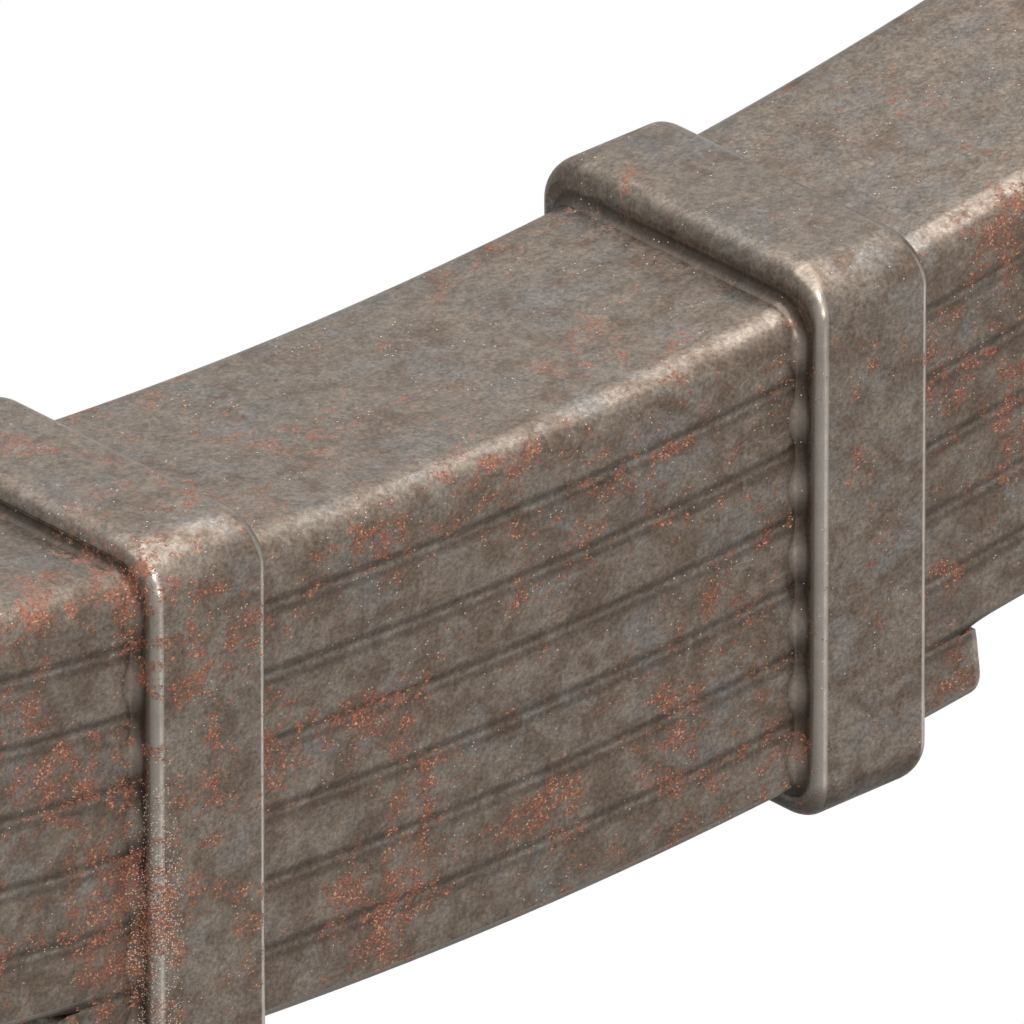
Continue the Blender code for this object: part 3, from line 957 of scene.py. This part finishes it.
class SPRING_OT_clips(bpy.types.Operator):
    """Builds the two rebound clips: strap, bolt, nut, spacer and rivet"""

    bl_idname = "leaf_spring.clips"
    bl_label = "Build Clips"

    def execute(self, context):
        steel = steel_material("fastener steel")
        leaf_under, bolt_height = clip_heights()
        strap_floor = leaf_under - FIT_GAP
        inner_half = LEAF_WIDTH / 2 + CLIP_SIDE_GAP
        head_seat = inner_half + CLIP_THICKNESS + FIT_GAP
        nut_end = head_seat + HEX_NUT_HEIGHT
        rivet_top = leaf_under + LEAF_THICKNESS - FIT_GAP
        for half, side in HALVES.items():
            spacer = tube(CLIP_SPACER_RADIUS, CLIP_SPACER_BORE, 2 * (inner_half - FIT_GAP), 0.5 * MM)
            rivet = rivet_shape(strap_floor - CLIP_THICKNESS - FIT_GAP, rivet_top)
            shapes = {
                "strap": strap_shape(strap_floor, bolt_height),
                "bolt": lay_across(clip_bolt_shape(head_seat, nut_end), z=bolt_height),
                "nut": lay_across(clip_nut_shape(head_seat), z=bolt_height),
                "spacer": lay_across(spacer, z=bolt_height),
                "rivet": rivet,
            }
            for part, shape in shapes.items():
                name = f"{half}_clip_{part}"
                piece = make_piece(name + "_finished", swing(shape, side), steel)
                if part == "strap":
                    bore = CLIP_BOLT_RADIUS + FIT_GAP
                    hole = turned([(bore, -nut_end), (bore, nut_end)], HOLE_SIDES, closed=False)
                    hole = swing(lay_across(hole, z=bolt_height), side)
                    drill(piece, hole, swing(rivet_hole(rivet_top), side))
                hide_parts(name)
                remember_surface(piece)
                bend_with_spring(piece)
        return {"FINISHED"}


# ---------------------------------------------------------------- materials


class Sheet:
    """Adds and links the nodes of one material or group."""

    def __init__(self, tree):
        self.tree = tree

    def add(self, kind, inputs=None, **settings):
        node = self.tree.nodes.new(kind)
        for key, value in settings.items():
            setattr(node, key, value)
        for key, value in (inputs or {}).items():
            if isinstance(value, bpy.types.NodeSocket):
                self.tree.links.new(value, node.inputs[key])
            else:
                node.inputs[key].default_value = value
        return node

    def noise(self, place, scale, detail=3.0, rough=0.55, warp=0.0):
        """Soft random values, 0 to 1, with that many bumps in a metre."""
        inputs = {"Vector": place, "Scale": scale, "Detail": detail, "Roughness": rough}
        inputs["Distortion"] = warp
        return self.add("ShaderNodeTexNoise", inputs).outputs["Fac"]

    def grains(self, place, scale):
        """Small cells, each with its own random value and its distance from its middle."""
        return self.add("ShaderNodeTexVoronoi", {"Vector": place, "Scale": scale}).outputs

    def span(self, value, low, high, to_low=0.0, to_high=1.0):
        """Low to high becomes to_low to to_high, with soft ends."""
        inputs = {"Value": value, 1: low, 2: high, 3: to_low, 4: to_high}
        return self.add("ShaderNodeMapRange", inputs, interpolation_type="SMOOTHSTEP").outputs[0]

    def math(self, operation, first, second=0.0):
        return self.add("ShaderNodeMath", {0: first, 1: second}, operation=operation).outputs[0]

    def times(self, first, second):
        return self.math("MULTIPLY", first, second)

    def plus(self, first, second):
        return self.math("ADD", first, second)

    def link(self, source, target):
        self.tree.links.new(source, target)

    def mix(self, share, first, second, blend="MIX"):
        node = self.add("ShaderNodeMix", {"Factor": share}, data_type="RGBA", blend_type=blend)
        for socket, value in ((node.inputs[6], first), (node.inputs[7], second)):
            if isinstance(value, bpy.types.NodeSocket):
                self.tree.links.new(value, socket)
            else:
                socket.default_value = (*value, 1.0)
        return node.outputs[2]

    def stretch(self, place, x, y, z):
        inputs = {0: place, 1: (x, y, z)}
        return self.add("ShaderNodeVectorMath", inputs, operation="MULTIPLY").outputs[0]


def start_group(name, inputs, outputs):
    """An empty node group with named sockets, or the group if it is already there."""
    made = bpy.data.node_groups.get(name)
    if made:
        return made, None, None, None
    made = bpy.data.node_groups.new(name, "ShaderNodeTree")
    for label, kind in inputs:
        made.interface.new_socket(label, in_out="INPUT", socket_type=kind)
    for label, kind in outputs:
        made.interface.new_socket(label, in_out="OUTPUT", socket_type=kind)
    sheet = Sheet(made)
    given = sheet.add("NodeGroupInput").outputs
    result = sheet.add("NodeGroupOutput").inputs
    return made, sheet, given, result


def mottled_steel_group(steel):
    """Satin steel with warm, cool and brown patches and a fine grain."""
    made, sheet, given, result = start_group(
        "mottled steel",
        [("Place", "NodeSocketVector"), ("Film", "NodeSocketFloat")],
        [("Color", "NodeSocketColor"), ("Roughness", "NodeSocketFloat"), ("Height", "NodeSocketFloat")],
    )
    if sheet is None:
        return made
    place = sheet.stretch(given["Place"], 0.9, 1.0, 1.05)
    cool = sheet.span(sheet.noise(place, scale=70.0, detail=4.0, rough=0.6, warp=0.4), 0.46, 0.64)
    film = sheet.noise(place, scale=110.0, detail=6.0, rough=0.65, warp=0.6)
    film = sheet.span(sheet.plus(film, given["Film"]), 0.44, 0.70)
    colour = sheet.mix(cool, tuple(steel.warm_grey), tuple(steel.blue_grey))
    colour = sheet.mix(film, colour, tuple(steel.brown))
    cloud = sheet.span(sheet.noise(place, scale=330.0, detail=5.0, rough=0.7), 0.25, 0.75, 0.80, 1.20)
    grain = sheet.span(sheet.noise(place, scale=1000.0, detail=4.0, rough=0.75), 0.25, 0.75, 0.62, 1.40)
    shade = sheet.times(cloud, grain)
    bright = sheet.add("ShaderNodeVectorMath", {0: colour, "Scale": shade}, operation="SCALE").outputs[0]
    sheet.link(bright, result["Color"])
    rough = sheet.span(sheet.noise(place, scale=160.0, detail=5.0, rough=0.65), 0.3, 0.7, 0.20, 0.34)
    rough = sheet.plus(rough, sheet.times(film, 0.10))
    sheet.link(rough, result["Roughness"])
    pits = sheet.noise(place, scale=900.0, detail=4.0, rough=0.7)
    sheet.link(pits, result["Height"])
    return made


def rust_growth_group(steel):
    """Patches of red rust with loose orange grains and pale flakes."""
    made, sheet, given, result = start_group(
        "rust growth",
        [
            ("Place", "NodeSocketVector"),
            ("Amount", "NodeSocketFloat"),
            ("Side", "NodeSocketFloat"),
            ("Crust", "NodeSocketFloat"),
        ],
        [
            ("Color", "NodeSocketColor"),
            ("Mask", "NodeSocketFloat"),
            ("Fleck", "NodeSocketFloat"),
            ("Height", "NodeSocketFloat"),
        ],
    )
    if sheet is None:
        return made
    place = sheet.stretch(given["Place"], 0.85, 1.0, 1.1)
    region = sheet.noise(place, scale=46.0, detail=2.0, rough=0.5, warp=0.3)
    patch = sheet.noise(place, scale=230.0, detail=7.0, rough=0.72, warp=0.3)
    grow = sheet.plus(sheet.times(region, 0.40), sheet.times(patch, 0.60))
    grow = sheet.plus(grow, given["Amount"])
    patchy = sheet.span(grow, 0.520, 0.650)
    cells = sheet.grains(place, 2600.0)
    pick = sheet.add("ShaderNodeSeparateColor", {0: cells["Color"]}).outputs
    share = sheet.times(patchy, sheet.span(given["Side"], 0.0, 1.0, 0.45, 0.75))
    loose = sheet.math("GREATER_THAN", share, pick[0])
    ground = sheet.times(patchy, sheet.span(sheet.noise(place, scale=600.0, detail=3.0), 0.35, 0.6))
    bright = sheet.times(loose, sheet.span(pick[1], 0.1, 0.9))
    colour = sheet.mix(bright, tuple(steel.rust_red), tuple(steel.rust_orange))
    pale = sheet.times(sheet.math("GREATER_THAN", pick[2], 0.90), given["Side"])
    colour = sheet.mix(sheet.times(pale, loose), colour, tuple(steel.pale_grain))
    sheet.link(colour, result["Color"])
    mask = sheet.math("MAXIMUM", sheet.times(loose, 0.9), sheet.times(ground, 0.8))
    mask = sheet.times(mask, sheet.span(patchy, 0.0, 0.3))
    sheet.link(mask, result["Mask"])
    specks = sheet.grains(place, 2300.0)
    speck_pick = sheet.add("ShaderNodeSeparateColor", {0: specks["Color"]}).outputs[0]
    near = sheet.math("LESS_THAN", specks["Distance"], 0.38)
    crowd = sheet.span(sheet.noise(place, scale=90.0, detail=3.0, rough=0.6), 0.45, 0.75, 1.0, 0.965)
    crowd = sheet.math("SUBTRACT", crowd, sheet.times(given["Crust"], 0.55))
    fleck = sheet.times(near, sheet.math("GREATER_THAN", speck_pick, crowd))
    sheet.link(fleck, result["Fleck"])
    height = sheet.times(mask, pick[1])
    sheet.link(height, result["Height"])
    return made


def distance_from_joint(sheet, place):
    """0 at a joint between leaves, 0.5 at the middle of a leaf; and the distance from the arcs' centre."""
    parts = sheet.add("ShaderNodeSeparateXYZ", {0: place}).outputs
    drop = sheet.math("SUBTRACT", ARC_CENTRE_HEIGHT, parts["Z"])
    reach = sheet.math("SQRT", sheet.plus(sheet.times(parts["X"], parts["X"]), sheet.times(drop, drop)))
    depth = sheet.math("DIVIDE", sheet.math("SUBTRACT", reach, MAIN_TOP_RADIUS), LEAF_PITCH)
    return sheet.math("PINGPONG", depth, 0.5), reach


# Colours and finishes that all the steels share
# Painted shade: the dark colour that concave hollows are darkened toward
HOLLOW_SHADE = (0.060, 0.044, 0.034)
# Painted shade: the colour of the dark lines beside each joint between leaves
JOINT_SHADE = (0.045, 0.034, 0.028)
# Painted highlight: the bright arcs on the bands' lips, on the middle of each leaf
LIP_GLINT = (0.340, 0.300, 0.265)
# Convex edges lighten toward this colour: partly wear, partly painted highlight
WORN_EDGE_AND_HIGHLIGHT = (0.420, 0.380, 0.340)
PALE_FLECK = (0.60, 0.48, 0.38)
CRUST_HEIGHT = 0.042
RUST_ROUGHNESS = 0.75
RUST_METALLIC = 0.15
BUMP_DISTANCE = 0.0001


def painted_joint_shade(sheet, place, flank):
    """Two soft dark lines of painted shade beside each joint between leaves, on the leaves' sides."""
    off_joint, reach = distance_from_joint(sheet, place)
    outer = sheet.span(off_joint, 0.09, 0.19, 1.0, 0.0)
    inner = sheet.span(off_joint, 0.0, 0.07)
    inside = sheet.span(reach, MAIN_TOP_RADIUS + 0.008, MAIN_TOP_RADIUS + 0.010)
    joint_shade = sheet.times(sheet.times(outer, inner), inside)
    return sheet.times(joint_shade, sheet.times(flank, 0.46))


def pale_crust(sheet, place):
    """Where a pale crust of old grit clings: down the rear band's outer edge, on its -Y side."""
    edge = (-BAND_SPACING / 2 - BAND_WIDTH / 2, -BAND_HALF_DEPTH, CRUST_HEIGHT)
    away = sheet.add("ShaderNodeVectorMath", {0: place, 1: edge}, operation="SUBTRACT").outputs[0]
    away = sheet.stretch(away, 130.0, 130.0, 24.0)
    away = sheet.add("ShaderNodeVectorMath", {0: away}, operation="LENGTH").outputs["Value"]
    ragged = sheet.plus(away, sheet.noise(place, scale=300.0, detail=4.0, rough=0.7))
    return sheet.span(ragged, 0.9, 1.7, 1.0, 0.0)


# For each steel: brown film, spread of rust, extra rust round the rear band, metallic value, relief
STEELS = {
    "leaf steel": {"film": 0.01, "rust": -0.008, "damp": 0.015, "metal": 0.92, "bump": 0.25},
    "band steel": {"film": -0.02, "rust": -0.045, "damp": 0.055, "metal": 0.92, "bump": 0.20},
    "fastener steel": {"film": 0.04, "rust": 0.01, "damp": 0.0, "metal": 0.92, "bump": 0.30},
    "sleeve steel": {"film": -0.08, "rust": -0.06, "damp": 0.0, "metal": 0.90, "bump": 0.15},
}


def steel_material(name):
    """One of the weathered steels."""
    made = bpy.data.materials.get(name)
    if made:
        return made
    steel = bpy.context.scene.spring_steel
    values = STEELS[name]
    made = bpy.data.materials.new(name)
    made.use_nodes = True
    sheet = Sheet(made.node_tree)
    shader = made.node_tree.nodes["Principled BSDF"]
    place = sheet.add("ShaderNodeAttribute", attribute_name="place").outputs["Vector"]
    curve = sheet.add("ShaderNodeAttribute", attribute_name="curve").outputs["Fac"]
    metal = sheet.add("ShaderNodeGroup", node_tree=mottled_steel_group(steel))
    sheet.link(place, metal.inputs["Place"])
    spot = sheet.add("ShaderNodeSeparateXYZ", {0: place}).outputs
    flank = sheet.span(sheet.math("ABSOLUTE", spot["Y"]), LEAF_WIDTH / 2 - 0.005, LEAF_WIDTH / 2)
    film = sheet.span(flank, 0.0, 1.0, values["film"], values["film"] + 0.07)
    sheet.link(film, metal.inputs["Film"])
    rust = sheet.add("ShaderNodeGroup", node_tree=rust_growth_group(steel))
    sheet.link(place, rust.inputs["Place"])
    sheet.link(flank, rust.inputs["Side"])
    amount = values["rust"] + (steel.rust_amount - 0.5) * 0.2
    amount = sheet.span(flank, 0.0, 1.0, amount + 0.005, amount + 0.028)
    damp = sheet.times(sheet.span(spot["X"], -0.02, -0.10), sheet.span(spot["X"], -0.32, -0.20))
    damp = sheet.times(damp, values["damp"])
    sheet.link(sheet.plus(amount, damp), rust.inputs["Amount"])
    if name == "band steel":
        sheet.link(pale_crust(sheet, place), rust.inputs["Crust"])
    # Concave hollows of the bands, fasteners and sleeves are darkened toward a dark brown: painted shade
    depth = 0.0 if name == "leaf steel" else 0.75
    hollow = sheet.span(curve, -0.40, -0.05, depth, 0.0)
    hollow_colour = HOLLOW_SHADE
    # On the bands' lips a painted highlight lightens the hollow colour on the middle of each leaf
    if name == "band steel":
        lip_glint = sheet.span(distance_from_joint(sheet, place)[0], 0.10, 0.50, 0.0, 0.55)
        hollow_colour = sheet.mix(sheet.times(lip_glint, flank), hollow_colour, LIP_GLINT)
    colour = sheet.mix(hollow, metal.outputs["Color"], hollow_colour)
    # Painted shade: two dark lines beside each joint between leaves on the leaves' sides
    if name == "leaf steel":
        colour = sheet.mix(painted_joint_shade(sheet, place, flank), colour, JOINT_SHADE)
    # Convex edges are lighter and smoother: partly wear, partly painted highlight
    wear_and_highlight = sheet.span(curve, 0.16, 0.36, 0.0, 0.8)
    colour = sheet.mix(wear_and_highlight, colour, WORN_EDGE_AND_HIGHLIGHT)
    colour = sheet.mix(rust.outputs["Mask"], colour, rust.outputs["Color"])
    colour = sheet.mix(sheet.times(rust.outputs["Fleck"], 0.75), colour, PALE_FLECK)
    sheet.link(colour, shader.inputs["Base Color"])
    covered = sheet.math("MAXIMUM", rust.outputs["Mask"], rust.outputs["Fleck"])
    bare = sheet.span(covered, 0.0, 1.0, values["metal"], RUST_METALLIC)
    sheet.link(bare, shader.inputs["Metallic"])
    rough = sheet.add("ShaderNodeMix", {"Factor": covered}, data_type="FLOAT")
    polish = sheet.math("SUBTRACT", metal.outputs["Roughness"], sheet.times(wear_and_highlight, 0.10))
    sheet.link(polish, rough.inputs[2])
    rough.inputs[3].default_value = RUST_ROUGHNESS
    sheet.link(rough.outputs[0], shader.inputs["Roughness"])
    height = sheet.plus(metal.outputs["Height"], sheet.times(rust.outputs["Height"], 1.5))
    relief = {"Strength": values["bump"], "Distance": BUMP_DISTANCE, "Height": height}
    bump = sheet.add("ShaderNodeBump", relief)
    sheet.link(bump.outputs["Normal"], shader.inputs["Normal"])
    return made


def rubber_material():
    """Dull black rubber with dust and fine mould texture."""
    made = bpy.data.materials.get("bush rubber")
    if made:
        return made
    made = bpy.data.materials.new("bush rubber")
    made.use_nodes = True
    sheet = Sheet(made.node_tree)
    shader = made.node_tree.nodes["Principled BSDF"]
    place = sheet.add("ShaderNodeAttribute", attribute_name="place").outputs["Vector"]
    dust = sheet.span(sheet.noise(place, scale=180.0, detail=5.0, rough=0.65), 0.45, 0.75, 0.0, 0.7)
    colour = sheet.mix(dust, (0.018, 0.017, 0.016), (0.085, 0.070, 0.058))
    sheet.link(colour, shader.inputs["Base Color"])
    rough = sheet.span(dust, 0.0, 0.7, 0.55, 0.85)
    sheet.link(rough, shader.inputs["Roughness"])
    pores = sheet.noise(place, scale=1500.0, detail=3.0, rough=0.6)
    bump = sheet.add("ShaderNodeBump", {"Strength": 0.2, "Distance": BUMP_DISTANCE, "Height": pores})
    sheet.link(bump.outputs["Normal"], shader.inputs["Normal"])
    return made


# ---------------------------------------------------------------- stage


def make_floor():
    """A plain white floor, bright enough to show no shadow, that throws no light of its own."""
    material = bpy.data.materials.new("pale floor")
    material.use_nodes = True
    sheet = Sheet(material.node_tree)
    material.node_tree.nodes.remove(material.node_tree.nodes["Principled BSDF"])
    white = sheet.add("ShaderNodeEmission", {"Color": (1.0, 1.0, 1.0, 1.0), "Strength": 1.0})
    output = material.node_tree.nodes["Material Output"]
    sheet.link(white.outputs[0], output.inputs["Surface"])
    shape = bmesh.new()
    bmesh.ops.create_grid(shape, x_segments=8, y_segments=8, size=FLOOR_REACH)
    mesh = bpy.data.meshes.new("floor")
    shape.to_mesh(mesh)
    shape.free()
    mesh.materials.append(material)
    floor = bpy.data.objects.new("floor", mesh)
    floor.location.z = -0.5 * MM
    floor.visible_glossy = False
    floor.visible_diffuse = False
    floor.visible_shadow = False
    bpy.context.scene.collection.objects.link(floor)


def towards(azimuth, elevation):
    """Unit vector in that direction, in degrees from +X and above the horizon."""
    turn, rise = math.radians(azimuth), math.radians(elevation)
    return Vector((math.cos(turn) * math.cos(rise), math.sin(turn) * math.cos(rise), math.sin(rise)))


def make_softbox(name, direction, distance, size, strength):
    """A soft light that faces the middle of the pack."""
    lamp = bpy.data.lights.new(name, "AREA")
    lamp.shape = "RECTANGLE"
    lamp.size = lamp.size_y = size
    lamp.energy = strength
    softbox = bpy.data.objects.new(name, lamp)
    softbox.location = Vector((0.0, 0.0, 0.07)) + direction * distance
    softbox.rotation_mode = "QUATERNION"
    softbox.rotation_quaternion = direction.to_track_quat("Z", "Y")
    softbox.visible_camera = False
    bpy.context.scene.collection.objects.link(softbox)


# Soft lamps: name, direction, distance, width and watts
LAMPS = (
    ("overhead softbox", (0.0, 90.0), 1.6, 2.3, 35.0),
    ("high front lamp", (-112.0, 47.0), 2.5, 0.45, 16.0),
    ("low front lamp", (-102.0, 15.0), 2.5, 0.40, 10.0),
)

# How bright the studio's walls are from straight down (0) to straight up (1)
WALL_LIGHT = ((0.0, 0.30), (0.17, 0.37), (0.27, 0.77), (0.50, 0.83), (0.67, 0.98), (0.85, 1.20))

# Soft reflector cards: direction, half angle in degrees, strength
CARDS = (((-90.0, -29.0), 15.0, 0.6), ((-15.0, -29.0), 14.0, 0.6))


def make_studio():
    """Soft walls all round, brightest at the front right, with low reflector cards."""
    world = bpy.data.worlds.new("studio")
    world.use_nodes = True
    sheet = Sheet(world.node_tree)
    way = sheet.add("ShaderNodeTexCoord").outputs["Generated"]
    height = sheet.add("ShaderNodeSeparateXYZ", {0: way}).outputs["Z"]
    share = sheet.add("ShaderNodeMapRange", {"Value": height, 1: -1.0, 2: 1.0}).outputs[0]
    walls = sheet.add("ShaderNodeValToRGB", {0: share})
    walls.color_ramp.interpolation = "EASE"
    stops = walls.color_ramp.elements
    for spot, _ in WALL_LIGHT[1:-1]:
        stops.new(spot)
    for stop, (spot, light) in zip(stops, WALL_LIGHT):
        stop.position = spot
        stop.color = (light, light, light, 1.0)
    lit_side = sheet.add("ShaderNodeVectorMath", {0: way, 1: towards(-50.0, 0.0)}, operation="DOT_PRODUCT")
    side = sheet.span(lit_side.outputs["Value"], -1.0, 0.6, 0.45, 1.0)
    light = sheet.times(walls.outputs["Color"], side)
    for direction, half_angle, strength in CARDS:
        inputs = {0: way, 1: towards(*direction)}
        near = sheet.add("ShaderNodeVectorMath", inputs, operation="DOT_PRODUCT").outputs["Value"]
        edge = math.cos(math.radians(half_angle))
        card = sheet.span(near, edge, 1.0, 0.0, strength)
        light = sheet.plus(light, card)
    backdrop = world.node_tree.nodes["Background"]
    sheet.link(light, backdrop.inputs["Strength"])
    backdrop.inputs["Color"].default_value = (1.0, 0.985, 0.965, 1.0)
    bpy.context.scene.world = world


class SPRING_OT_stage(bpy.types.Operator):
    """Sets up the floor, the soft studio light and the camera"""

    bl_idname = "leaf_spring.stage"
    bl_label = "Set Up Stage"

    def execute(self, context):
        scene = context.scene
        settings = scene.spring_stage
        scene.view_settings.view_transform = "Standard"
        make_floor()
        make_studio()
        for name, direction, distance, size, watts in LAMPS:
            make_softbox(name, towards(*direction), distance, size, watts)
        camera = bpy.data.objects.new("camera", bpy.data.cameras.new("camera"))
        camera.data.lens = settings.lens
        camera.data.clip_start = 0.5
        camera.data.clip_end = 200.0
        turn, rise = settings.view_azimuth, settings.view_elevation
        back = Vector((math.sin(turn) * math.cos(rise), -math.cos(turn) * math.cos(rise), math.sin(rise)))
        camera.location = Vector(settings.view_aim) + back * settings.view_distance
        camera.rotation_mode = "QUATERNION"
        camera.rotation_quaternion = (-back).to_track_quat("-Z", "Y")
        scene.collection.objects.link(camera)
        scene.camera = camera
        return {"FINISHED"}


# ---------------------------------------------------------------- add-on


class SPRING_PT_panel(bpy.types.Panel):
    """Sidebar panel of the leaf spring"""

    bl_idname = "SPRING_PT_panel"
    bl_label = "Leaf Spring"
    bl_space_type = "VIEW_3D"
    bl_region_type = "UI"
    bl_category = "Leaf Spring"

    def draw(self, context):
        for settings in SETTINGS:
            box = self.layout.box()
            for key in SETTINGS[settings].__annotations__:
                box.prop(getattr(context.scene, settings), key)
        for operator in OPERATORS:
            self.layout.operator(operator.bl_idname)


SETTINGS = {"spring_leaves": LeafSettings, "spring_steel": SteelSettings, "spring_stage": StageSettings}
OPERATORS = [
    SPRING_OT_stage,
    SPRING_OT_leaves,
    SPRING_OT_bands,
    SPRING_OT_centre_bolt,
    SPRING_OT_bushes,
    SPRING_OT_clips,
]
CLASSES = [*SETTINGS.values(), *OPERATORS, SPRING_PT_panel]


def register():
    for cls in CLASSES:
        bpy.utils.register_class(cls)
    for name, settings in SETTINGS.items():
        setattr(bpy.types.Scene, name, PointerProperty(type=settings))


def unregister():
    for name in SETTINGS:
        delattr(bpy.types.Scene, name)
    for cls in reversed(CLASSES):
        bpy.utils.unregister_class(cls)


def main():
    register()
    bpy.ops.leaf_spring.stage()
    bpy.ops.leaf_spring.leaves()
    bpy.ops.leaf_spring.bands()
    bpy.ops.leaf_spring.centre_bolt()
    bpy.ops.leaf_spring.bushes()
    bpy.ops.leaf_spring.clips()


if __name__ == "__main__":
    main()
